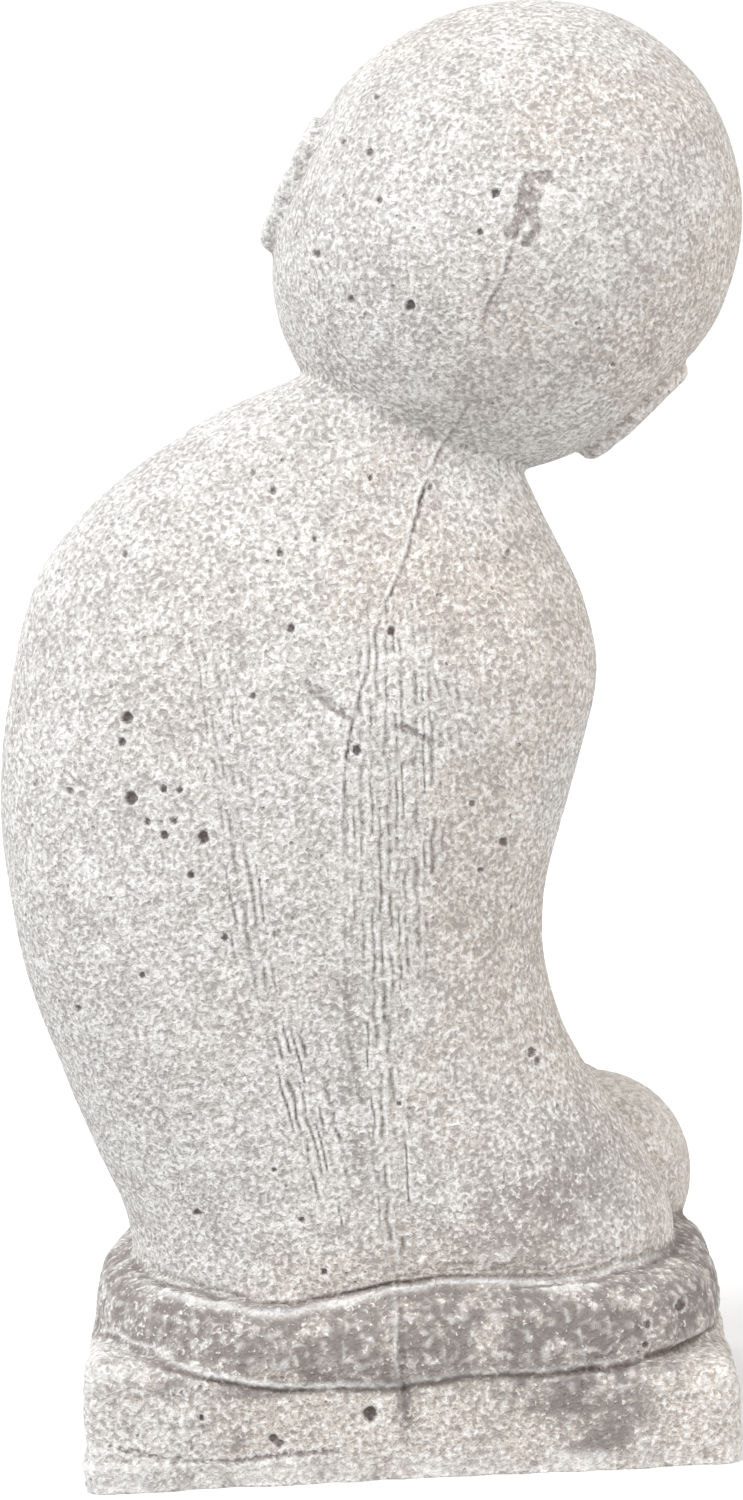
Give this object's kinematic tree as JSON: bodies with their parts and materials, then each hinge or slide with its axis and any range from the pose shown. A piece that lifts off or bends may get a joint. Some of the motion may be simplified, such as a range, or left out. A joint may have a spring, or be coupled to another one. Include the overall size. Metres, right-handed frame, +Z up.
{
  "type": "monk statue",
  "caption": "Garden statue of a seated young monk with bowed round head and joined hands, cast in concrete in one piece with its cushion and plinth.",
  "frame": {"origin": "centre of the plinth's flat underside", "axes": "+Z up, -Y the way the figure faces, +X to the figure's left"},
  "size_m": [0.2152, 0.149, 0.4003],
  "materials": {
    "concrete": null
  },
  "bodies": {
    "root": {"monk_statue": "concrete"}
  },
  "joints": []
}
